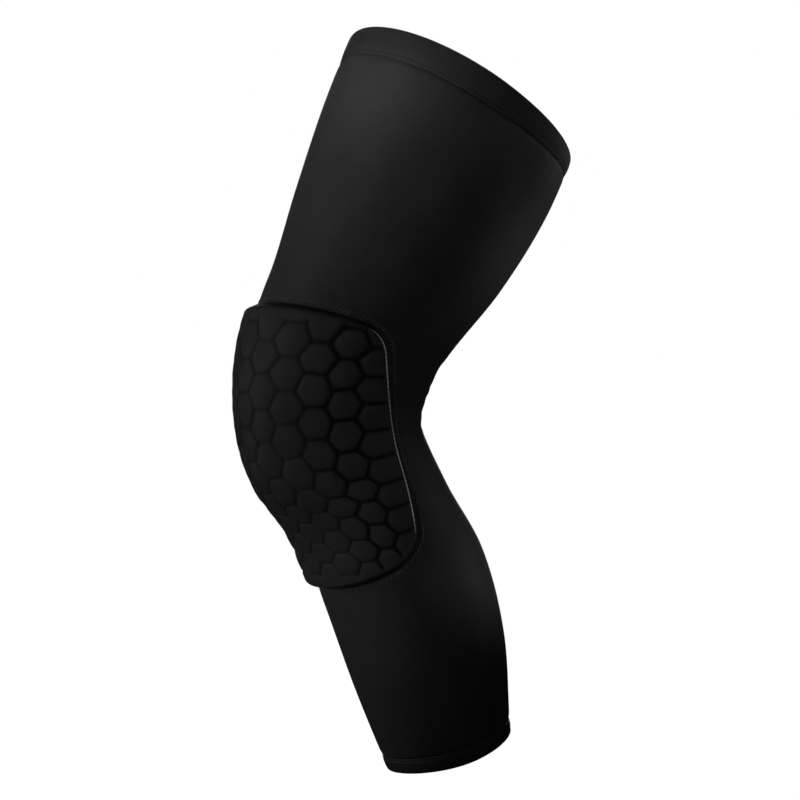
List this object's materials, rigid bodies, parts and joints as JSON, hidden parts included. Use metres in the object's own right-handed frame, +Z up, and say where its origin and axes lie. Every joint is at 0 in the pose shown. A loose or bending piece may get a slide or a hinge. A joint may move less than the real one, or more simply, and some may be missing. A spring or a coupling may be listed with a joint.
{
  "type": "basketball knee pad",
  "caption": "Long compression leg sleeve, open at thigh and calf, with a honeycomb foam pad sewn over the knee to cushion falls, shaped to a bent leg.",
  "frame": {"origin": "on the leg's axis at the middle of the knee, inside the sleeve, where the wearer's knee joint sits", "axes": "+Z up, -Y towards the front of the knee where the pad is, +X to one side; the part is the same on both sides of X = 0"},
  "size_m": [0.1592, 0.2363, 0.4913],
  "materials": {
    "knit": "black stretch knit with a soft sheen",
    "hem": "black knit, turned double and stitched",
    "pad": "black knit laminated on moulded foam"
  },
  "bodies": {
    "root": {"sleeve": "knit", "thigh_band": "hem", "calf_band": "hem", "knee_pad": "pad"}
  },
  "joints": []
}
